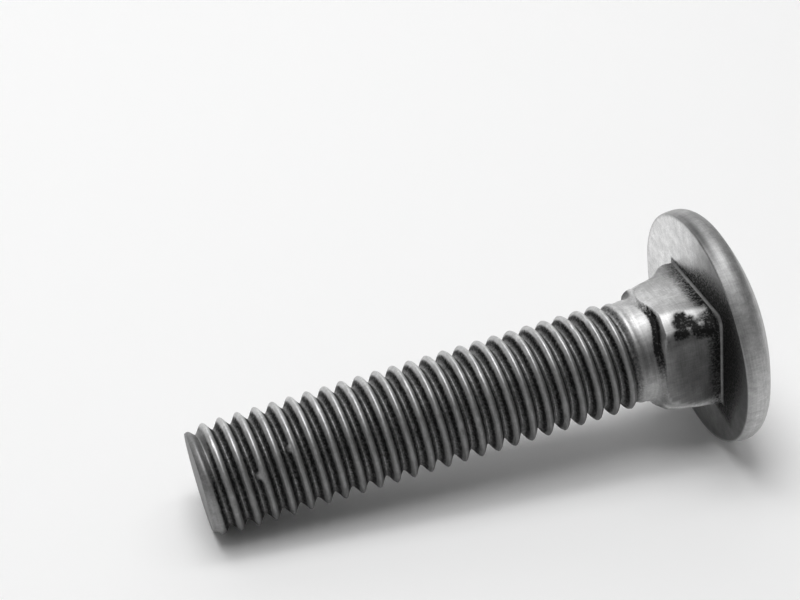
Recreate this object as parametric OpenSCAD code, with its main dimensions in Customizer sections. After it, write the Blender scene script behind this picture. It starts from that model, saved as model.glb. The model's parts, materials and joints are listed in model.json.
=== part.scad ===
// Carriage bolt: a low domed head, a square neck that locks in timber, a short plain
// shoulder and a rolled coarse thread, all forged and rolled from one steel wire.
// It lies on a flat surface as it comes to rest, on the rim of its head and on the
// last full thread before its point.

/* [Length] */
// Length from the bearing face under the head to the end of the point
length_under_head = 57.5; // [40:0.5:120]

/* [Head] */
// Greatest diameter of the head, across its rounded rim
head_d = 27; // [23:0.1:34]
// Height of the head from its bearing face to the top of the dome
head_h = 6.2; // [5:0.1:9]
// Radius of the rounded rim
rim_r = 2; // [1.4:0.1:2.3]
// Height of the widest part of the rim above the bearing face
rim_h = 1.3; // [0.6:0.1:1.3]

/* [Square neck] */
// Width of the neck across its flats
neck_w = 12.7; // [12:0.1:14]
// Length of the neck from the bearing face to the middle of its sloping end
neck_l = 6.5; // [4:0.1:10]
// Distance across opposite corners at the shank end, where the forging fills them less
neck_end_d = 14.7; // [14.2:0.1:16]
// Radius of the neck's long corners
neck_corner_r = 1; // [0.4:0.1:1.8]
// Length over which the neck's corners slope off to the shoulder
neck_end_l = 1.6; // [1:0.1:2.4]
// Reach of the forged flare where the neck runs into the head
flare = 0.5; // [0.3:0.1:1.2]
// Turn of the flats about the bolt's axis, from lying square to the surface
neck_turn = -5; // [-45:1:45]

/* [Shoulder] */
// Diameter of the plain shoulder, the wire's size before the thread is rolled
shoulder_d = 11.5; // [10.8:0.1:11.9]
// Length of the plain shoulder between the neck and the first thread
shoulder_l = 2.8; // [2:0.1:12]

/* [Thread] */
// Outside diameter of the thread
thread_d = 12.4; // [12.2:0.05:13]
// Distance from one crest to the next
pitch = 1.954; // [1.7:0.001:2.1]
// Depth of the thread from crest to root
thread_depth = 1.2; // [1:0.05:1.3]
// Turns over which the thread rises out of the shoulder
run_out_turns = 1.2; // [0.6:0.1:2]
// Distance back from the point at which a crest passes under the axis
crest_setback = 0.76; // [0.1:0.05:1.9]

/* [Point] */
// Diameter of the flat end of the point
point_d = 11; // [10.4:0.1:11.4]
// Length of the chamfer that cuts down the last crests
point_l = 1.7; // [1.3:0.1:2.4]

/* [Hidden] */
steel = [0.46, 0.47, 0.48];
overlap = 0.4;

// Head: the dome is a cap of a large sphere that meets the round rim without a corner.
head_r = head_d / 2;
rim_centre_r = head_r - rim_r;
rim_rise = head_h - rim_h;
dome_r = (rim_centre_r * rim_centre_r + rim_rise * rim_rise - rim_r * rim_r)
    / (2 * (rim_rise - rim_r));
dome_centre_h = head_h - dome_r;
dome_edge_angle = atan2(rim_h - dome_centre_h, rim_centre_r);
rim_foot_angle = -asin(rim_h / rim_r);
bearing_r = rim_centre_r + rim_r * cos(rim_foot_angle);
dome_steps = 14;
rim_steps = 10;
seam_turn = 1.9;

// Neck: half its width across the corners at each end, and where it ends in the shoulder.
neck_reach = (neck_w / 2 - neck_corner_r) * sqrt(2) + neck_corner_r;
neck_end_r = neck_end_d / 2;
neck_foot = neck_l + neck_end_l;

// Thread: stations are measured from the bearing face towards the point.
steps_per_turn = 36;
thread_r = thread_d / 2;
root_r = thread_r - thread_depth;
shoulder_r = shoulder_d / 2;
sunk_r = shoulder_r - 0.35;
point_r = point_d / 2;
thread_start = neck_l + shoulder_l;
crest_flat = pitch / 8;
flank = thread_depth * tan(30);
root_flat = pitch - crest_flat - 2 * flank;
row_offsets = [0, crest_flat, crest_flat + flank, crest_flat + flank + root_flat];
rows_per_turn = len(row_offsets);
last_crest = length_under_head - crest_setback;
turns_back = ceil((last_crest - thread_start) / pitch) + 1;
first_row_station = last_crest - turns_back * pitch - crest_flat / 2;
thread_turns = turns_back + 2;
row_count = thread_turns * rows_per_turn;

// Rest: the crest that touches the surface is the last one that the chamfer leaves whole,
// and it touches with the middle of one of the short flats that the helix is drawn with.
crests_cut = ceil((point_l - crest_setback) / pitch);
contact_station = last_crest - crests_cut * pitch + crest_flat / 2;
contact_r = thread_r * cos(180 / steps_per_turn);
rest_rise = contact_station + rim_h;
rest_step = rim_centre_r - contact_r;
rest_tilt = asin(rim_r / norm([rest_rise, rest_step])) + atan2(rest_step, rest_rise);
axis_height = rim_centre_r * cos(rest_tilt) - rim_h * sin(rest_tilt) + rim_r;

// Box of the lying bolt along X, from the point's edge to the dome, for the origin.
dome_top_x = dome_centre_h * cos(rest_tilt) + dome_r;
point_low_x = -length_under_head * cos(rest_tilt) - point_r * sin(rest_tilt);
middle_x = (dome_top_x + point_low_x) / 2;

function smooth(t) = let(c = min(1, max(0, t))) c * c * (3 - 2 * c);
function blend(a, b, t) = a + (b - a) * smooth(t);
function arc(centre, r, from, to, steps) =
    [for (i = [0:steps]) let(t = from + (to - from) * i / steps) centre + r * [cos(t), sin(t)]];

// Radius of the rolled thread: crests and roots fade into the wire at the run-out,
// and the last root fills up towards the flat point.
function full_radius(row) = row % rows_per_turn < 2 ? thread_r : root_r;
function rolled_radius(row, station) =
    let(out = (station - thread_start) / (run_out_turns * pitch))
    let(fill = (station - (length_under_head - 0.9 * pitch)) / (0.9 * pitch))
    let(full = full_radius(row))
    let(pointed = full < point_r ? blend(full, point_r - 0.15, fill) : full)
    out < 0 ? blend(shoulder_r - 0.1, sunk_r, -2 * out) : blend(shoulder_r - 0.1, pointed, out);
function row_station(row, step) =
    first_row_station
    + floor(row / rows_per_turn) * pitch
    + row_offsets[row % rows_per_turn]
    + pitch * (step + 0.5) / steps_per_turn;
function thread_point(row, step) =
    let(station = row_station(row, step))
    let(r = rolled_radius(row, station))
    let(angle = 360 * (step + 0.5) / steps_per_turn)
    [r * cos(angle), r * sin(angle), station];
function vertex(row, step) = row * steps_per_turn + step;
// Going past the last step of a turn leads to the first step, one pitch further on.
function wrapped(row, step) =
    step < steps_per_turn ? vertex(row, step) : vertex(row + rows_per_turn, 0);

// A square with round corners, centred on the axis.
module rounded_square(width, corner_r) {
    inner = width / 2 - corner_r;
    square([width, 2 * inner], center = true);
    square([2 * inner, width], center = true);
    for (x = [-inner, inner])
        for (y = [-inner, inner])
            translate([x, y])
                circle(r = corner_r, $fn = 32);
}

// Domed head with a rounded rim, flat underneath. The seam is turned by half a facet, so
// that the rim rests on the middle of a facet.
module domed_head() {
    dome = arc([0, dome_centre_h], dome_r, 90, dome_edge_angle, dome_steps);
    rim = arc([rim_centre_r, rim_h], rim_r, dome_edge_angle, rim_foot_angle, rim_steps);
    rotate([0, 0, seam_turn])
        rotate_extrude($fn = 96)
            polygon(concat(
                [[0, 0]],
                dome,
                [for (i = [1:rim_steps - 1]) rim[i]],
                [[bearing_r, 0]]
            ));
}

// Square neck: its long corners are rounded and its shank end slopes off to the shoulder.
module square_neck() {
    rotate([0, 0, neck_turn]) {
        intersection() {
            translate([0, 0, -neck_foot])
                linear_extrude(neck_foot + overlap)
                    rounded_square(neck_w, neck_corner_r);
            rotate_extrude($fn = 96)
                polygon([
                    [0, 2 * overlap],
                    [neck_reach + 0.05, 2 * overlap],
                    [neck_reach + 0.05, -flare],
                    [neck_end_r, -neck_l + 0.5 * neck_end_l],
                    [(neck_end_r + neck_w / 2) / 2, -neck_l],
                    [neck_w / 2, -neck_l - 0.35 * neck_end_l],
                    [sunk_r, -neck_l - 0.6 * neck_end_l],
                    [0, -neck_l - 0.6 * neck_end_l]
                ]);
        }
        flare_step(flare, 0.45 * flare);
        flare_step(0.4 * flare, 1.6 * flare);
    }
}

// One slope of the forged flare, which reaches out along the head and down the neck.
module flare_step(out, down) {
    hull() {
        linear_extrude(overlap)
            rounded_square(neck_w + 2 * out, neck_corner_r + out);
        translate([0, 0, -down])
            linear_extrude(0.02)
                rounded_square(neck_w - 0.04, neck_corner_r);
    }
}

// Plain shoulder, a true cylinder from inside the neck into the start of the thread.
module shoulder() {
    translate([0, 0, -thread_start - 0.3 * pitch])
        cylinder(r = shoulder_r, h = thread_start + 0.3 * pitch - neck_l / 2, $fn = 96);
}

// Right-hand thread as one closed skin, wound along the helix from row to row.
module rolled_thread() {
    last = row_count;
    base_centre = (last + 1) * steps_per_turn;
    top_centre = base_centre + 1;
    points = concat(
        [for (row = [0:last]) for (step = [0:steps_per_turn - 1]) thread_point(row, step)],
        [[0, 0, first_row_station + pitch / 2]],
        [[0, 0, row_station(last, 0) + pitch / 2]]
    );
    skin = [for (row = [0:last - 1])
        for (step = [0:steps_per_turn - 1])
            if (step < steps_per_turn - 1 || row < last - rows_per_turn)
                let(a = vertex(row, step), b = wrapped(row, step + 1))
                let(c = wrapped(row + 1, step + 1), d = vertex(row + 1, step))
                each [[a, d, c], [a, c, b]]];
    base_loop = concat(
        [for (step = [0:steps_per_turn - 1]) vertex(0, step)],
        [for (row = [rows_per_turn:-1:1]) vertex(row, 0)]
    );
    top_loop = concat(
        [for (step = [0:steps_per_turn - 1]) vertex(last, step)],
        [for (row = [last - 1:-1:last - rows_per_turn]) vertex(row, steps_per_turn - 1)]
    );
    base = [for (i = [0:len(base_loop) - 1])
        [base_loop[i], base_loop[(i + 1) % len(base_loop)], base_centre]];
    top = [for (i = [0:len(top_loop) - 1])
        [top_loop[(i + 1) % len(top_loop)], top_loop[i], top_centre]];
    polyhedron(points = points, faces = concat(skin, base, top), convexity = 10);
}

// Room that the point leaves: full width along the shank, then a cone to the flat end.
module point_limit() {
    cone_rise = thread_r + 0.02 - point_r;
    rotate_extrude($fn = 96)
        polygon([
            [0, neck_l],
            [thread_r + 1, neck_l],
            [thread_r + 1, length_under_head - point_l * (thread_r + 1 - point_r) / cone_rise],
            [point_r, length_under_head],
            [0, length_under_head]
        ]);
}

// The whole bolt about its own axis, head up, with the bearing face at zero.
module upright_bolt() {
    domed_head();
    square_neck();
    shoulder();
    rotate([180, 0, 0])
        intersection() {
            rolled_thread();
            point_limit();
        }
}

// The bolt lying on its rim and thread, with its head towards +X.
module carriage_bolt() {
    color(steel)
        translate([-middle_x, 0, axis_height])
            rotate([0, 90 - rest_tilt, 0])
                upright_bolt();
}

carriage_bolt();
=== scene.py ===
import json
import math

import bpy
import numpy as np
from mathutils import Matrix, Vector


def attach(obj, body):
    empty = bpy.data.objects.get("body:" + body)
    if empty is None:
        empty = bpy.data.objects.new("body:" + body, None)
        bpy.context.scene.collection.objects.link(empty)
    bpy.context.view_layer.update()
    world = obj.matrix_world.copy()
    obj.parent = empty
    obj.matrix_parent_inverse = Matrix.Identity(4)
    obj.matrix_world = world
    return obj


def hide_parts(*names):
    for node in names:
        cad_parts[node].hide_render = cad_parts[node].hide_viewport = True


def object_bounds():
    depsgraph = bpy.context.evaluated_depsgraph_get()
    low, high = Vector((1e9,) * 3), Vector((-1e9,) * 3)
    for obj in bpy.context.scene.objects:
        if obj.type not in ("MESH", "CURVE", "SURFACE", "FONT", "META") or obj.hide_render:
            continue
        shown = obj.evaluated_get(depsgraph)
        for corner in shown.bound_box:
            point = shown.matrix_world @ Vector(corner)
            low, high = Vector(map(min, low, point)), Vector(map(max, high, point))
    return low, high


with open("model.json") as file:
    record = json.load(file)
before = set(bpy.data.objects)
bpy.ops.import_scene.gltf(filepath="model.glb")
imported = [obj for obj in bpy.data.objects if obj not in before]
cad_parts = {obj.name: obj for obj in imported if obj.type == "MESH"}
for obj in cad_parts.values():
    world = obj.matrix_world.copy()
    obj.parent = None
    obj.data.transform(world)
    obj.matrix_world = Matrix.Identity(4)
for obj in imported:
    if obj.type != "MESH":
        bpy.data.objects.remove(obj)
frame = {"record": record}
cad_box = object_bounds()
scene = bpy.context.scene
scene.view_settings.view_transform = "Standard"

# Camera
# It looks down on the bolt at about 35 degrees from beside its point, through a long lens,
# so that the flat underside of the head shows.
PHOTO_WIDTH = 800
FOCAL_PIXELS = 1900
SENSOR_WIDTH = 36
CAMERA_PLACE = (-0.05867, -0.15517, 0.13677)
CAMERA_AZIMUTH = math.radians(-17.645)
CAMERA_ELEVATION = math.radians(34.512)

lens = bpy.data.cameras.new("photo_camera")
lens.sensor_width = SENSOR_WIDTH
lens.lens = FOCAL_PIXELS / PHOTO_WIDTH * SENSOR_WIDTH
camera = bpy.data.objects.new("photo_camera", lens)
camera.location = CAMERA_PLACE
camera.rotation_euler = (math.pi / 2 - CAMERA_ELEVATION, 0, CAMERA_AZIMUTH)
scene.collection.objects.link(camera)
scene.camera = camera

# Head
# A low dome with a rounded rim, upset from the end of the wire by the heading dies. It
# sits a little off the shank's axis, as forged heads do, and the dies leave it bright.
# The whole bolt is one skin of rings, in millimetres up from the head's flat underside.
HEAD_R = 13.5
HEAD_HEIGHT = 6.2
RIM_R = 2.0
RIM_HEIGHT = 1.3
HEAD_SHIFT = 0.62
FOOT_INSET = 0.2
DARK_BAND_HEIGHT = 0.4
DARK_BAND_WIDTH = 0.45
DOME_RINGS = 32
RIM_RINGS = 12
FOOT_RINGS = 11
HEAD_TONE = 0.8
RIM_SHADE = 0.2
DARK_BAND_SHADE = 0.35
FOOT_SHADE = 0.3
STEPS_ROUND = 96
FIRST_CORNER = math.radians(40)
CORNER_CROWDING = math.radians(9)

even = FIRST_CORNER + np.arange(STEPS_ROUND) / STEPS_ROUND * 2 * math.pi
crowded = even - CORNER_CROWDING * np.sin(4 * (even - FIRST_CORNER))
everywhere = np.ones(STEPS_ROUND)
skin = []
tone_and_light_rings = []
scale_and_shade_rings = []


def mix(a, b, t):
    return a + (b - a) * t


def smooth(t):
    """Zero up to 0 and one from 1 on, with a smooth rise between them."""
    t = np.clip(t, 0, 1)
    return t * t * (3 - 2 * t)


def angle_from(turn, degrees):
    """Angle round the bolt from one given in degrees, by the shorter way."""
    return np.angle(np.exp(1j * (turn - math.radians(degrees))))


def near(turn, degrees, width):
    """One at an angle round the bolt, falling smoothly to zero a width away from it.

    Zero degrees is under the bolt, 90 is its far side, 180 its top and -90 its near side.
    """
    return smooth(1 - np.abs(angle_from(turn, degrees)) / math.radians(width))


def add_ring(turn, radius, height, shift=0.0, steel_tone_and_painted_light=HEAD_TONE, scale_and_painted_shade=0.0):
    """A ring of the skin, with how bright its steel is, painted light and shade included, and
    how far black scale and painted shade cover it.
    """
    skin.append(np.stack([radius * np.cos(turn), radius * np.sin(turn) + shift,
                          height * everywhere], axis=-1))
    tone_and_light_rings.append(steel_tone_and_painted_light * everywhere)
    scale_and_shade_rings.append(scale_and_painted_shade * everywhere)


rim_centre = HEAD_R - RIM_R
rim_rise = HEAD_HEIGHT - RIM_HEIGHT
dome_r = (rim_centre ** 2 + rim_rise ** 2 - RIM_R ** 2) / (2 * (rim_rise - RIM_R))
dome_centre = HEAD_HEIGHT - dome_r
dome_edge = math.atan2(RIM_HEIGHT - dome_centre, rim_centre)
# Painted shade: the rim is darkened near its top, where the soft box's highlight falls.
rim_tone_with_painted_shade = HEAD_TONE - RIM_SHADE * near(even, -172, 60)
for slope in np.linspace(math.pi / 2, dome_edge, DOME_RINGS)[1:]:
    add_ring(even, dome_r * math.cos(slope), dome_centre + dome_r * math.sin(slope), HEAD_SHIFT)
for slope in np.linspace(dome_edge, 0, RIM_RINGS)[1:]:
    add_ring(even, rim_centre + RIM_R * math.cos(slope), RIM_HEIGHT + RIM_R * math.sin(slope),
             HEAD_SHIFT, steel_tone_and_painted_light=rim_tone_with_painted_shade)
for share in np.linspace(0, 1, FOOT_RINGS)[1:]:
    height = RIM_HEIGHT * (1 - math.sin(share * math.pi / 2))
    radius = HEAD_R - FOOT_INSET * (1 - math.cos(share * math.pi / 2))
    # Painted reflection: a dark band round the rim's foot near its top stands in for dark
    # surroundings mirrored there.
    painted_dark_band = np.exp(-((height - DARK_BAND_HEIGHT) / DARK_BAND_WIDTH) ** 2) * near(even, -176, 36)
    # Painted shade on the rim's foot, on its lower and near side, fading out up the rim.
    foot_painted_shade = smooth(1 - height / RIM_HEIGHT) * near(even, -118, 95)
    add_ring(even, radius, height, HEAD_SHIFT,
             steel_tone_and_painted_light=rim_tone_with_painted_shade - DARK_BAND_SHADE * painted_dark_band - FOOT_SHADE * foot_painted_shade)

# Underside of the head
# A flat ring that bears on the timber. It meets the neck in a small rounded root. Painted
# shade, laid as black scale, darkens it round the neck, most on the near side, and painted
# light brightens its far upper side and its low side.
UNDERSIDE_RINGS = 20
ROOT_RINGS = 6
ROOT_R = 0.3
ROOT_CORNER_R = 9.1
ROOT_CORNER_DIP = 0.4
ROOT_CORNER_BLEND = 0.3
UNDERSIDE_TONE = 0.27
PAINTED_LIGHT_SIDE = 125
PAINTED_LIGHT_FROM = -0.4
PAINTED_LIGHT_OVER = 1.4
LOW_PAINTED_REFLECTION = 0.15
ROOT_TONE = 0.27
ROOT_PAINTED_LIGHT = 0.2
NECK_SHADE_REACH = 0.3
NEAR_SIDE_SHADE_REACH = 7.5
NECK_SHADE_FIRMNESS = 1.35
NECK_SHADE_DEPTH = 0.95
NECK_SHADE_DARKENING = 0.55
NECK_SHADE_COVER = 0.8

# Each flat of the neck has the way it faces and its distance from the axis, first at the
# head and then at the neck's end, since the neck is slightly twisted.
FLATS = {
    "upper": ((177, 6.0), (177, 6.15)),
    "front": ((-88, 6.4), (-97, 6.42)),
    "far": ((90, 6.2), (85, 6.3)),
    "under": ((0, 5.75), (-5, 6.0)),
}
FLAT_BLEND = 0.35
TWIST_LENGTH = 6
OUT_OF_REACH = 99
LEAST_COSINE = 0.05


def soft_min(a, b, width):
    """The lower of two sizes, with the edge between them rounded over a width."""
    h = np.clip(0.5 + 0.5 * (b - a) / width, 0, 1)
    return mix(b, a, h) - width * h * (1 - h)


def soft_max(a, b, width):
    return -soft_min(-a, -b, width)


def rise(value, start, length):
    """Zero up to a start, then rising smoothly to one over a length."""
    return smooth((value - start) / length)


def fall(value, end, length):
    """One, falling smoothly to zero over a length before an end."""
    return smooth((end - value) / length)


def patch(away, reach, firmness):
    """One in the middle of a patch and zero at its reach. A firm patch is wider inside."""
    return smooth(firmness * (1 - np.abs(away) / reach))


def plane_reach(turn, facing, place):
    """How far a plane that faces one way lies from the axis, each way round."""
    return place / np.maximum(np.cos(turn - math.radians(facing)), LEAST_COSINE)


def neck_reach(turn, station, out=0.0):
    """How far the neck's slightly twisted flats, grown by a width, reach each way round."""
    twist = smooth(station / TWIST_LENGTH)
    reach = OUT_OF_REACH * everywhere
    for at_head, at_end in FLATS.values():
        facing = mix(at_head[0], at_end[0], twist)
        place = mix(at_head[1], at_end[1], twist) + out
        reach = soft_min(reach, plane_reach(turn, facing, place), FLAT_BLEND)
    return reach


def neck_root(turn, out):
    """The neck's outline where it leaves the head, grown by a width."""
    corner = ROOT_CORNER_R - ROOT_CORNER_DIP * near(turn, -135, 35)
    return soft_min(neck_reach(turn, 0, out), corner + out, ROOT_CORNER_BLEND)


# Painted shade round the neck's root, reaching far out on the near side.
neck_shade_reach = NECK_SHADE_REACH + NEAR_SIDE_SHADE_REACH * near(crowded, -112, 120)
# Painted light: the underside is brighter towards its far upper side, and a painted reflection
# brightens its low side.
to_painted_light_side = np.cos(crowded - math.radians(PAINTED_LIGHT_SIDE))
underside_painted_light = UNDERSIDE_TONE + rise(to_painted_light_side, PAINTED_LIGHT_FROM, PAINTED_LIGHT_OVER)
underside_painted_light = underside_painted_light + LOW_PAINTED_REFLECTION * near(crowded, -15, 60)
foot_r = HEAD_R - FOOT_INSET
for share in np.linspace(0, 1, UNDERSIDE_RINGS)[1:]:
    turn = mix(even, crowded, share)
    root = neck_root(turn, ROOT_R)
    reach = mix(foot_r, root, share)
    neck_painted_shade = NECK_SHADE_DEPTH * patch(reach - root, neck_shade_reach, NECK_SHADE_FIRMNESS)
    add_ring(turn, reach, 0, HEAD_SHIFT * (1 - share),
             steel_tone_and_painted_light=underside_painted_light * (1 - NECK_SHADE_DARKENING * neck_painted_shade), scale_and_painted_shade=NECK_SHADE_COVER * neck_painted_shade)
# The root is lighter along its top: painted light.
for slope in np.linspace(0, math.pi / 2, ROOT_RINGS)[1:-1]:
    out = ROOT_R * (1 - math.sin(slope))
    add_ring(crowded, neck_root(crowded, out), -ROOT_R * (1 - math.cos(slope)),
             steel_tone_and_painted_light=ROOT_TONE + ROOT_PAINTED_LIGHT * near(crowded, 176, 60))

# Square neck
# Forged square, to lock in timber. The steel fills its corners less and less towards the
# shank, each one differently, and tool marks run along its flats under thin black scale.
NECK_END = 7.9
CORNERS_DROP = 5.6
FLAT_RINGS = 26
LEDGE_RINGS = 36
SHOULDER_R = 5.75
LAST_CORNER_SIZE = 0.2
CORNER_EDGE = 0.22
WAVES_END = 8

# Each corner lies at an angle, and has the radius that the steel fills at some stations.
CORNERS = {
    "far": (130, (0, 1, 2, 3, 4.4, 5.7, 6.3, 6.8, 7.2),
            (8.9, 8.5, 8.1, 7.4, 7.0, 6.75, 6.5, 6.0, 5.7)),
    "near": (-140, (0, 1.5, 4, 5.3, 6.0, 6.35, 6.7),
             (9.2, 9.0, 8.4, 7.95, 7.65, 6.9, 5.7)),
    "low": (-50, (0, 1.8, 2.9, 3.9, 4.9, 6.2, 7.0, 7.5),
            (8.6, 8.2, 8.0, 7.8, 7.66, 7.3, 6.5, 5.7)),
    "under": (40, (0, 1.8, 4, 5.7, 6.5, 7.0, 7.4),
              (8.7, 8.3, 7.7, 7.4, 7.0, 6.3, 5.7)),
}


def corner_limit(station):
    """Radius that the steel fills at a station, drawn from corner to corner."""
    limit = 0 * everywhere
    for degrees, stations, radii in CORNERS.values():
        away = angle_from(crowded, degrees)
        weight = np.where(np.abs(away) < math.pi / 2, np.cos(away) ** 2, 0)
        limit = limit + weight * np.interp(station, stations, radii)
    return limit


# The near corner is cut by a small flat of its own, which ends a little before the others.
FACET_FACING = -156
FACET_STATIONS = (0, 0.5, 1.5, 3, 5.6, 6.6, 7.0)
FACET_PLACES = (7.7, 7.35, 7.1, 6.95, 6.87, 6.84, 6.7)
FACET_EDGE = 0.1
FACET_LOW_EDGE = 1.6
FACET_SOFTNESS = 0.15
EARLY_END = 0.7
facet_blend = FACET_EDGE + FACET_LOW_EDGE * near(crowded, -122, 34)
early_end = EARLY_END * near(crowded, -158, 32) ** 0.7

# A sliver of steel stands proud of the far corner's end.
SLIVER_PLACE = 141
SLIVER_STATIONS = (6.0, 6.5, 6.9, 7.25, 7.4)
SLIVER_RADII = (6.8, 6.7, 6.5, 6.2, 5.7)
SLIVER_SIDE_R = 5.5
SLIVER_SHADE = 0.75
sliver_round = near(crowded, SLIVER_PLACE, 9) ** 0.5


def forging_waves(station):
    """Slow waves, a few hundredths of a millimetre high, that the dies leave."""
    waves = 0 * everywhere
    for height, lobes, winding in ((0.03, 3, 1.1), (0.02, 5, -2.3)):
        waves = waves + height * np.sin(lobes * crowded + winding * station)
    return waves * rise(station, 0, 1) * fall(station, WAVES_END, 1)


# The upper flat carries painted light and the front one painted shade, and the rounded edges
# are rubbed bright, partly wear and partly a painted highlight. The small flat has painted
# light towards the top. The tones run over into the shoulder's.
NECK_TONE = 0.34
UPPER_PAINTED_LIGHT = 0.68
FRONT_SHADE = 0.16
FRONT_END_PAINTED_LIGHT = 0.12
FRONT_END = 4.5
FRONT_END_FADE = 2
FACET_SHADED_TONE = 0.3
FACET_LIT_TONE = 0.85
FACET_BRIGHT_FROM = 136
FACET_BRIGHT_OVER = 18
EDGE_WEAR_AND_HIGHLIGHT = 0.4
EDGE_SOFTNESS = 0.25
LOW_EDGE_PAINTED_HIGHLIGHT = 0.6
RUBBED_END = 7.2
SHOULDER_STATION = 6.7
SHOULDER_FADE = 0.5
SHOULDER_TONE = 0.95
SHOULDER_SHADE = 0.64
upper_side = near(crowded, 176, 60)
front_side = near(crowded, -97, 60)
low_edge = near(crowded, -52, 7)
edges = sum(near(crowded, corner[0], 9) for corner in CORNERS.values())
edges = edges * (1 - near(crowded, -140, 20))
# Painted light: the small flat is lighter where it faces up and darker where it faces down.
degrees_up = -np.degrees(angle_from(crowded, 0))
facet_painted_light = rise(degrees_up, FACET_BRIGHT_FROM, FACET_BRIGHT_OVER)
facet_painted_tone = mix(FACET_SHADED_TONE, FACET_LIT_TONE, facet_painted_light)
facet_round = near(crowded, FACET_FACING, 40) ** 0.3


def shoulder_tone(turn):
    """How bright the shoulder's steel is, with painted shade on the side towards the camera."""
    return SHOULDER_TONE - SHOULDER_SHADE * near(turn, -112, 55) ** 0.8


# Painted shade, laid as black scale, lies at the foot and on the ledge where the neck ends, and
# real scale lies in a scab on the near corner. The edges of the small flat are rubbed bare of
# it. Each patch of the scab has its angle, its station, its width in degrees and its half
# length.
SCAB_PATCHES = ((-144, 3.5, 13, 1.7), (-132, 4.2, 7, 1.2), (-133, 1.1, 13, 2.9))
SCAB_FIRMNESS = 1.3
SCAB_SPREAD = 1.6
SCAB_DEPTH = 0.08
LEDGE_START = 6.4
LEDGE_END = 7.5
LEDGE_COVER = 0.15
LEDGE_NEAR_COVER = 1.1
FOOT_REACH = 2.4
FOOT_FIRMNESS = 1.2
FOOT_COVER = 0.8
FOOT_FAR = 0.35
FOOT_NEAR = 0.75
BARE_GAP = 3.6
BARE_GAP_REACH = 0.9
BARE_SPOT = 1.8
BARE_SPOT_REACH = 0.6
BARE_SPOT_SHARE = 0.8
BARE_FIRMNESS = 1.5
BARE_TONE = 0.5
SCAB_AND_SHADE_TONE = 0.16
SCAB_AND_SHADE_COVER = 0.9
ledge_round = LEDGE_COVER + LEDGE_NEAR_COVER * near(crowded, -142, 52) ** 0.7
foot_round = FOOT_FAR + FOOT_NEAR * near(crowded, -130, 110) ** 0.5


def scab_cover(station):
    cover = 0 * everywhere
    for degrees, place, width, half_length in SCAB_PATCHES:
        along = patch(station - place, half_length, SCAB_FIRMNESS)
        round_it = near(crowded, degrees, width)
        cover = np.maximum(cover, smooth(SCAB_SPREAD * round_it * along))
    return cover


def rubbed_bare(station):
    """A strip above the scab, broken once by it, and a small spot below it."""
    strip = near(crowded, -149, 6) * rise(station, ROOT_R, 0.5)
    strip = strip * (1 - patch(station - BARE_GAP, BARE_GAP_REACH, BARE_FIRMNESS))
    spot = patch(station - BARE_SPOT, BARE_SPOT_REACH, BARE_FIRMNESS)
    return np.maximum(strip, BARE_SPOT_SHARE * near(crowded, -137, 6) * spot)


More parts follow.
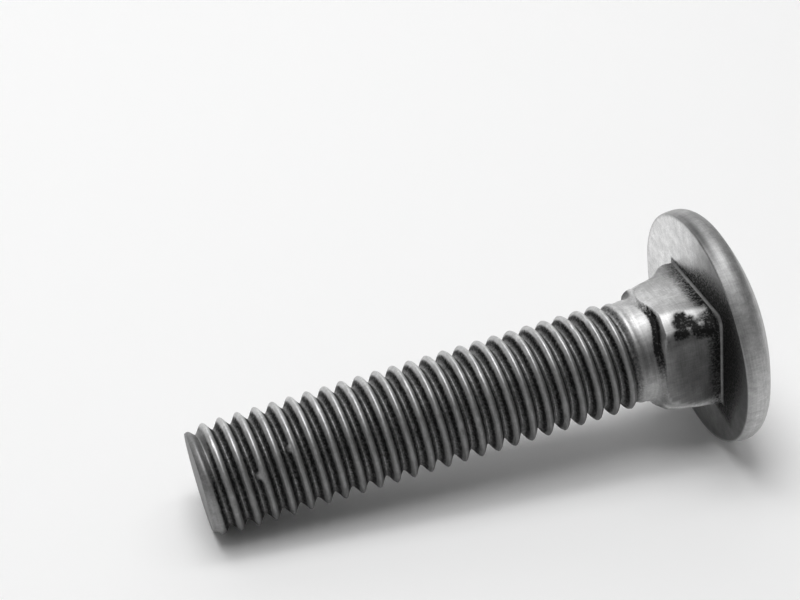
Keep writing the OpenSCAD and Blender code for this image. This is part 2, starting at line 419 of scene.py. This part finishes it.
flat_stations = np.linspace(ROOT_R, CORNERS_DROP, FLAT_RINGS)
ledge_stations = np.linspace(CORNERS_DROP, NECK_END, LEDGE_RINGS)[1:]
for station in np.concatenate([flat_stations, ledge_stations]):
    to_end = station + early_end
    limit = soft_max(corner_limit(to_end), SHOULDER_R, LAST_CORNER_SIZE)
    flat = neck_reach(crowded, station)
    facet_place = np.interp(station, FACET_STATIONS, FACET_PLACES)
    facet = plane_reach(crowded, FACET_FACING, facet_place)
    facet = np.where(near(crowded, FACET_FACING, 50) > 0, facet, OUT_OF_REACH)
    section = soft_min(soft_min(flat, facet, facet_blend), limit, CORNER_EDGE)
    section = soft_max(section, SHOULDER_R, LAST_CORNER_SIZE)
    sliver_r = np.interp(station, SLIVER_STATIONS, SLIVER_RADII)
    sliver = mix(SLIVER_SIDE_R, sliver_r, sliver_round)
    section = np.where(station > SLIVER_STATIONS[0], np.maximum(section, sliver), section)

    # Painted light on the upper flat and painted shade on the front one, lifted a little
    # towards its end.
    steel_tone_and_painted_light = NECK_TONE + UPPER_PAINTED_LIGHT * upper_side - FRONT_SHADE * front_side
    front_end = rise(station, FRONT_END, FRONT_END_FADE)
    steel_tone_and_painted_light = steel_tone_and_painted_light + FRONT_END_PAINTED_LIGHT * front_side * front_end
    # The rounded edges are rubbed bright, partly wear and partly a painted highlight; the low
    # edge has a painted highlight.
    rubbed_and_highlit = smooth(edges + smooth((flat - limit) / EDGE_SOFTNESS))
    steel_tone_and_painted_light = steel_tone_and_painted_light + EDGE_WEAR_AND_HIGHLIGHT * rubbed_and_highlit * fall(station, RUBBED_END, 1)
    steel_tone_and_painted_light = steel_tone_and_painted_light + LOW_EDGE_PAINTED_HIGHLIGHT * low_edge * fall(station, RUBBED_END, 1)
    on_facet = smooth((flat - facet) / FACET_SOFTNESS)
    steel_tone_and_painted_light = mix(steel_tone_and_painted_light, facet_painted_tone, on_facet * facet_round)
    on_shoulder = rise(to_end, SHOULDER_STATION, SHOULDER_FADE)
    steel_tone_and_painted_light = mix(steel_tone_and_painted_light, shoulder_tone(crowded), on_shoulder)
    on_sliver = near(crowded, SLIVER_PLACE, 12) * rise(station, LEDGE_START, 0.3)
    steel_tone_and_painted_light = steel_tone_and_painted_light * (1 - SLIVER_SHADE * on_sliver * fall(station, LEDGE_END, 0.1))

    bare = rubbed_bare(station)
    steel_tone_and_painted_light = np.maximum(steel_tone_and_painted_light, BARE_TONE * bare * on_facet)
    scab = scab_cover(station) * (1 - bare)
    # Painted shade, laid as black scale, in the ledge where the neck ends and round the neck's
    # foot; the scab is real scale.
    ledge_painted_shade = rise(to_end, LEDGE_START, 0.25) * fall(to_end, LEDGE_END, 0.45) * ledge_round
    foot_painted_shade = patch(station, FOOT_REACH, FOOT_FIRMNESS) * foot_round
    scab_and_painted_shade = np.maximum.reduce([ledge_painted_shade, FOOT_COVER * foot_painted_shade * (1 - bare), scab])
    steel_tone_and_painted_light = mix(steel_tone_and_painted_light, SCAB_AND_SHADE_TONE, SCAB_AND_SHADE_COVER * np.clip(scab_and_painted_shade, 0, 1))
    add_ring(crowded, section + forging_waves(station) - SCAB_DEPTH * scab, -station,
             steel_tone_and_painted_light=steel_tone_and_painted_light, scale_and_painted_shade=scab_and_painted_shade)

# Shoulder
# The plain wire between the neck and the thread, drawn through a die and left smooth. It
# is short, since the thread runs out close to the neck.
THREAD_START = 8.3
SHOULDER_RINGS = 4
for share in np.linspace(0, 1, SHOULDER_RINGS)[1:-1]:
    turn = mix(crowded, even, share)
    add_ring(turn, SHOULDER_R, -mix(NECK_END, THREAD_START, share), steel_tone_and_painted_light=shoulder_tone(turn))

# Thread
# A coarse right-hand thread, rolled cold between flat dies. Its crests are rubbed bright, with
# a painted highlight along their upper side, and are rounder near the head. A dark, grainy
# film lies on the flanks, partly oil and partly painted shade, and the roots carry a painted
# highlight.
THREAD_R = 6.19
THREAD_DEPTH = 1.2
PITCH = 1.954
RUN_OUT_TURNS = 1.5
BOLT_LENGTH = 58.0
LAST_CREST = 56.743
POINT_R = 5.55
POINT_LENGTH = 1.7
POINT_BLEND = 0.6
THREAD_ROOT_R = THREAD_R - THREAD_DEPTH
LAST_ROOT_R = POINT_R - 0.12
LAST_FILL = 0.8
LAST_FILL_FADE = 0.7
CREST_FLAT = PITCH / 8
FLANK_SLOPE = 1 / math.tan(math.radians(30))
FLANK_TOP_R = THREAD_R + 0.05
ROWS_PER_PITCH = 28
NICK_COUNT = 46
NICK_WIDTHS = (0.25, 0.6)
NICK_DEPTHS = (0.08, 0.24)

# How widely roots and crests are rounded, first near the head and then near the point
ROOT_ROUNDING = (0.25, 0.8)
CREST_ROUNDING = (0.45, 0.3)
CHANGE_START = 12
CHANGE_LENGTH = 38
dice = np.random.RandomState(11)

rows = int((BOLT_LENGTH - THREAD_START) / PITCH * ROWS_PER_PITCH)
station = np.linspace(THREAD_START, BOLT_LENGTH, rows)[:, None]
waves = (station - LAST_CREST) / PITCH + even / (2 * math.pi)
crest_number = np.round(waves)
off_crest = np.abs(waves - crest_number) * PITCH
along = (even - 2 * math.pi * crest_number) * THREAD_R
towards_point = rise(station, CHANGE_START, CHANGE_LENGTH)

crest_wave = 0 * along
for wavelength, height in ((1.7, 0.012), (3.1, 0.02), (7.3, 0.025), (19, 0.02)):
    crest_wave += height * np.sin(2 * math.pi * along / wavelength + dice.uniform(0, 6.28))
nicks = 0 * along
for place in dice.uniform(along.min(), along.max(), NICK_COUNT):
    width = dice.uniform(*NICK_WIDTHS)
    nicks += dice.uniform(*NICK_DEPTHS) * np.exp(-((along - place) / width) ** 2)

crest_r = THREAD_R + np.minimum(crest_wave, 0) - nicks
flank_r = FLANK_TOP_R - FLANK_SLOPE * (off_crest - CREST_FLAT / 2)
filled = rise(station, BOLT_LENGTH - LAST_FILL, LAST_FILL_FADE)
root_r = mix(THREAD_ROOT_R, LAST_ROOT_R, filled)
profile = soft_max(flank_r, root_r, mix(*ROOT_ROUNDING, towards_point))
profile = soft_min(profile, crest_r, mix(*CREST_ROUNDING, towards_point))
rising = rise(station, THREAD_START, RUN_OUT_TURNS * PITCH) ** 0.7
profile = mix(SHOULDER_R, profile, rising)
cone = POINT_R + (FLANK_TOP_R - POINT_R) * (BOLT_LENGTH - station) / POINT_LENGTH
profile = soft_min(profile, cone, POINT_BLEND)

# Near the point two burrs stand where a crest was knocked over towards the next one. Each
# has its station, its angle, its width round the bolt and its length along it.
BURRS = ((48.3, -138, 0.35, 0.4), (52.2, -120, 0.4, 0.5))
BURR_HEIGHT = 0.6
BURR_TOP_R = THREAD_R - 0.15
knocked = 0 * along
for burr_station, degrees, burr_width, burr_length in BURRS:
    away = angle_from(even, degrees) * THREAD_R
    burr = np.exp(-((station - burr_station) / burr_length) ** 2 - (away / burr_width) ** 2)
    profile = np.minimum(profile + BURR_HEIGHT * burr, np.maximum(profile, BURR_TOP_R))
    knocked = np.maximum(knocked, burr)

# Crests and burrs are bright, and flanks are filmed with oil and painted shade. The upper
# crests and the roots carry painted highlights. The chamfer is rubbed plain.
# Crests and roots are told apart by how far the steel is lifted, from 0 to 1.
CREST_FROM = 0.38
CREST_FADE = 0.4
ROOT_UNTIL = 0.42
ROOT_FADE = 0.3
FLANK_TONE = 0.2
ROOT_PAINTED_HIGHLIGHT = 0.3
CREST_TONE = 0.16
UPPER_CREST_PAINTED_HIGHLIGHT = 0.7
KNOCKED_TONE = 0.9
FILM_AND_SHADE_COVER = 0.92
ROOT_THINNING = 0.6
CHAMFER_TONE = 0.42
CHAMFER_FILM = 0.1
RUBBED_LENGTH = 1.3
RUBBED_MORE_ABOVE = 0.8
RUBBED_FADE = 0.5
END_TONE = 0.3
lifted = (profile - THREAD_ROOT_R) / THREAD_DEPTH
on_crest = rise(lifted, CREST_FROM, CREST_FADE)
in_root = fall(lifted, ROOT_UNTIL, ROOT_FADE)
# Painted highlight: crests are brighter along the bolt's upper side.
crest_tone_with_highlight = CREST_TONE + UPPER_CREST_PAINTED_HIGHLIGHT * near(even, 170, 95)
# Painted highlight: a bright streak along the roots.
thread_tone_with_painted_light = FLANK_TONE + crest_tone_with_highlight * on_crest + ROOT_PAINTED_HIGHLIGHT * in_root
# Partly a dark oily film and partly painted shade on the flanks, thinner in the roots.
film_and_painted_shade = FILM_AND_SHADE_COVER * (1 - on_crest ** 2) * (1 - ROOT_THINNING * in_root)
steel_tone_and_painted_light = mix(shoulder_tone(even), thread_tone_with_painted_light, rising)
steel_tone_and_painted_light = np.maximum(steel_tone_and_painted_light, KNOCKED_TONE * knocked)
scale_and_painted_shade = film_and_painted_shade * rising * (1 - knocked)
rubbed_from = BOLT_LENGTH - RUBBED_LENGTH - RUBBED_MORE_ABOVE * near(even, 175, 70)
rubbed_point = rise(station, rubbed_from, RUBBED_FADE)
steel_tone_and_painted_light = mix(steel_tone_and_painted_light, CHAMFER_TONE, rubbed_point)
scale_and_painted_shade = mix(scale_and_painted_shade, CHAMFER_FILM, rubbed_point)
for row in range(rows):
    add_ring(even, profile[row], -station[row, 0], steel_tone_and_painted_light=steel_tone_and_painted_light[row], scale_and_painted_shade=scale_and_painted_shade[row])
for share in (0.98, 0.9, 0.7, 0.4):
    add_ring(even, profile[-1] * share, -BOLT_LENGTH, steel_tone_and_painted_light=END_TONE)

# Carriage bolt
# The rings are joined into one skin, and it is laid where the record says that the bolt's
# axis lies. It rests on the rim of its head and on its thread.
MM = 0.001
SIDE_LIMIT = HEAD_R + 0.35
SIDE_BLEND = 0.5
mounts = {mount["name"]: mount for mount in frame["record"]["mounts"]}
to_point = Vector(mounts["thread"]["axis"]).normalized()
on_axis = Vector(mounts["thread"]["pos_m"])
on_face = Vector(mounts["bearing_face"]["pos_m"])
bearing_centre = on_axis + to_point * (on_face - on_axis).dot(to_point)
across = Vector((0, 1, 0))
underneath = across.cross(-to_point)
bolt_axes = np.array(Matrix((underneath, across, -to_point)))

# The head's far side is eased back to keep close to the solids' box. Nothing goes under
# the floor, or past the box at the head's end.
ring_points = np.array(skin)
ring_points[..., 1] = soft_min(ring_points[..., 1], SIDE_LIMIT, SIDE_BLEND)
ring_count = len(ring_points)
dome_top = [[0, HEAD_SHIFT, HEAD_HEIGHT]]
point_end = [[0, 0, -BOLT_LENGTH]]
local = np.concatenate([dome_top, ring_points.reshape(-1, 3), point_end])
placed = local * MM @ bolt_axes + np.array(bearing_centre)
placed[:, 2] = np.maximum(placed[:, 2], 0)
placed[:, 0] = np.minimum(placed[:, 0], cad_box[1][0])

first_ring = [1 + step for step in range(STEPS_ROUND)]
faces = [(0, first_ring[step - 1], first_ring[step]) for step in range(STEPS_ROUND)]
for row in range(ring_count - 1):
    here = 1 + row * STEPS_ROUND
    there = here + STEPS_ROUND
    for step in range(STEPS_ROUND):
        after = (step + 1) % STEPS_ROUND
        faces.append((here + step, there + step, there + after, here + after))
last_ring = 1 + (ring_count - 1) * STEPS_ROUND
end_point = len(local) - 1
for step in range(STEPS_ROUND):
    faces.append((last_ring + step, end_point, last_ring + (step + 1) % STEPS_ROUND))

mesh = bpy.data.meshes.new("bolt_steel")
mesh.from_pydata(placed.tolist(), [], faces)
mesh.polygons.foreach_set("use_smooth", [True] * len(mesh.polygons))
bearing = np.arctan2(local[:, 1], local[:, 0])
helix = bearing / (2 * math.pi) * PITCH - local[:, 2]
wound = np.stack([THREAD_R * np.cos(bearing), THREAD_R * np.sin(bearing), helix], axis=-1)
for name, values in (("place_mm", local), ("wound_mm", wound)):
    attribute = mesh.attributes.new(name, "FLOAT_VECTOR", "POINT")
    attribute.data.foreach_set("vector", values.astype(np.float32).ravel())
for name, values in (("steel_tone_and_painted_light", tone_and_light_rings), ("scale_and_painted_shade", scale_and_shade_rings)):
    values = np.concatenate([values[0][:1], np.array(values).ravel(), values[-1][:1]])
    attribute = mesh.attributes.new(name, "FLOAT", "POINT")
    attribute.data.foreach_set("value", values.astype(np.float32))
mesh.update()
bolt = bpy.data.objects.new("bolt_steel", mesh)
scene.collection.objects.link(bolt)

# The steel is bare and oily, and its tones and scale carry painted light and shade. Tool
# marks run along the neck and rolling marks along the thread, and the black scale breaks up
# into grains at its edges.
CLEAN_STEEL = 0.62
SCALE_BLACK = 0.02
SCALE_ROUGHNESS = 0.15
RELIEF_STRENGTH = 0.35
RELIEF_HEIGHT = 0.00006
STEEL_ROUGHNESS = (0.46, 0.58)
NOISE_LOW = 0.3
NOISE_HIGH = 0.7
NOISE_ROUGHNESS = 0.6
steel = bpy.data.materials.new("oily_steel_with_painted_light")
steel.use_nodes = True
nodes = steel.node_tree.nodes
links = steel.node_tree.links
shader = nodes["Principled BSDF"]
shader.inputs["Metallic"].default_value = 1.0


def attribute_output(name, output):
    node = nodes.new("ShaderNodeAttribute")
    node.attribute_name = name
    return node.outputs[output]


def noise(place, grains_per_mm, detail):
    """Noise on a place in millimetres, with a number of grains along each of its axes."""
    mapping = nodes.new("ShaderNodeMapping")
    mapping.inputs["Scale"].default_value = grains_per_mm
    texture = nodes.new("ShaderNodeTexNoise")
    texture.inputs["Scale"].default_value = 1.0
    texture.inputs["Detail"].default_value = detail
    texture.inputs["Roughness"].default_value = NOISE_ROUGHNESS
    links.new(place, mapping.inputs["Vector"])
    links.new(mapping.outputs["Vector"], texture.inputs["Vector"])
    return texture.outputs["Fac"]


def spread(value, low, high, from_low=NOISE_LOW, from_high=NOISE_HIGH):
    """A value, such as noise with most of it in the middle, spread from low to high."""
    node = nodes.new("ShaderNodeMapRange")
    links.new(value, node.inputs["Value"])
    node.inputs["From Min"].default_value = from_low
    node.inputs["From Max"].default_value = from_high
    node.inputs["To Min"].default_value = low
    node.inputs["To Max"].default_value = high
    return node.outputs["Result"]


def combine(operation, first, second):
    node = nodes.new("ShaderNodeMath")
    node.operation = operation
    for socket, value in zip(node.inputs, (first, second)):
        if isinstance(value, (int, float)):
            socket.default_value = value
        else:
            links.new(value, socket)
    return node.outputs["Value"]


place_mm = attribute_output("place_mm", "Vector")
wound_mm = attribute_output("wound_mm", "Vector")
grain = noise(place_mm, (5, 5, 5), 3)
specks = noise(place_mm, (4, 4, 4), 2)
blotches = noise(place_mm, (2, 2, 2), 2)
mottling = noise(place_mm, (0.9, 0.9, 0.9), 3)
drawing = noise(place_mm, (4.5, 4.5, 0.45), 3)
rolling = noise(wound_mm, (0.35, 0.35, 7), 3)

tone = attribute_output("steel_tone_and_painted_light", "Fac")
for marks, depth in ((mottling, 0.15), (drawing, 0.1), (rolling, 0.1), (grain, 0.12)):
    tone = combine("MULTIPLY", tone, spread(marks, 1 - depth, 1 + depth))
reflectance = combine("MULTIPLY", tone, CLEAN_STEEL)

# Blotches and finer specks thin the mask of scale and painted shade. Where it is strong they
# leave only a few grains of steel, and where it is weak its edge is ragged.
ragged = combine("ADD", spread(blotches, 0.4, 0.8), spread(specks, -0.15, 0.95))
ragged = combine("MULTIPLY", attribute_output("scale_and_painted_shade", "Fac"), ragged)
covered = spread(ragged, 0, 1, from_low=0.12, from_high=0.88)

grey = nodes.new("ShaderNodeCombineColor")
for channel in ("Red", "Green", "Blue"):
    links.new(reflectance, grey.inputs[channel])
colour = nodes.new("ShaderNodeMix")
colour.data_type = "RGBA"
colour.inputs["B"].default_value = (SCALE_BLACK, SCALE_BLACK, SCALE_BLACK, 1)
links.new(covered, colour.inputs["Factor"])
links.new(grey.outputs["Color"], colour.inputs["A"])
links.new(colour.outputs["Result"], shader.inputs["Base Color"])

roughness = combine("MULTIPLY", covered, SCALE_ROUGHNESS)
roughness = combine("ADD", spread(grain, *STEEL_ROUGHNESS), roughness)
links.new(roughness, shader.inputs["Roughness"])

relief = combine("MULTIPLY", grain, 0.5)
scaly = combine("MULTIPLY", specks, covered)
for marks, weight in ((drawing, 0.3), (rolling, 0.2), (scaly, 0.5)):
    relief = combine("ADD", relief, combine("MULTIPLY", marks, weight))
bump = nodes.new("ShaderNodeBump")
bump.inputs["Strength"].default_value = RELIEF_STRENGTH
bump.inputs["Distance"].default_value = RELIEF_HEIGHT
links.new(relief, bump.inputs["Height"])
links.new(bump.outputs["Normal"], shader.inputs["Normal"])
mesh.materials.append(steel)

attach(bolt, "root")
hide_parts("carriage_bolt")

# Floor and backdrop
# A white paper sweep: flat under the bolt, then curving up some way behind it. It is part
# of the studio, and it keeps the bolt's shadow.
SWEEP_HALF_WIDTH = 1.2
SWEEP_FRONT = -0.6
SWEEP_BACK = 0.5
SWEEP_BEND = 0.25
SWEEP_TOP = 0.9
BEND_LINES = 17
PAPER_WHITE = 0.95
PAPER_ROUGHNESS = 0.9
sweep_line = [(SWEEP_FRONT, 0)]
for slope in np.linspace(0, math.pi / 2, BEND_LINES):
    sweep_line.append((SWEEP_BACK - SWEEP_BEND + SWEEP_BEND * math.sin(slope),
                       SWEEP_BEND * (1 - math.cos(slope))))
sweep_line.append((SWEEP_BACK, SWEEP_TOP))
sweep_points = [(side * SWEEP_HALF_WIDTH, y, z) for y, z in sweep_line for side in (-1, 1)]
sweep_faces = [(2 * i, 2 * i + 1, 2 * i + 3, 2 * i + 2) for i in range(len(sweep_line) - 1)]
sweep_mesh = bpy.data.meshes.new("paper_sweep")
sweep_mesh.from_pydata(sweep_points, [], sweep_faces)
sweep_mesh.polygons.foreach_set("use_smooth", [True] * len(sweep_mesh.polygons))
sweep = bpy.data.objects.new("paper_sweep", sweep_mesh)
scene.collection.objects.link(sweep)
paper = bpy.data.materials.new("white_paper")
paper.use_nodes = True
paper_shader = paper.node_tree.nodes["Principled BSDF"]
paper_shader.inputs["Base Color"].default_value = (PAPER_WHITE, PAPER_WHITE, PAPER_WHITE, 1)
paper_shader.inputs["Roughness"].default_value = PAPER_ROUGHNESS
sweep_mesh.materials.append(paper)


# Lamps
# One soft box hangs straight over the bolt and another lights the backdrop. The room is
# dim, so the side of the bolt that faces the camera stays dark.
def soft_box(name, place, aim, size, power):
    lamp = bpy.data.lights.new(name, "AREA")
    lamp.shape = "RECTANGLE"
    lamp.size, lamp.size_y = size
    lamp.energy = power
    holder = bpy.data.objects.new(name, lamp)
    holder.location = place
    holder.rotation_euler = (Vector(aim) - Vector(place)).to_track_quat("-Z", "Y").to_euler()
    scene.collection.objects.link(holder)


soft_box("soft_box_above", place=(-0.1, 0.02, 0.6), aim=(0, 0, 0), size=(0.5, 0.36),
         power=2.25)
soft_box("backdrop_lamp", place=(0.1, 0.1, 0.75), aim=(0.1, 0.5, 0.35), size=(0.8, 0.2),
         power=1.6)

ROOM_LIGHT = 0.19
world = bpy.data.worlds.new("dim_room")
scene.world = world
world.use_nodes = True
background = world.node_tree.nodes["Background"]
background.inputs["Color"].default_value = (ROOM_LIGHT, ROOM_LIGHT, ROOM_LIGHT, 1)
background.inputs["Strength"].default_value = 1.0
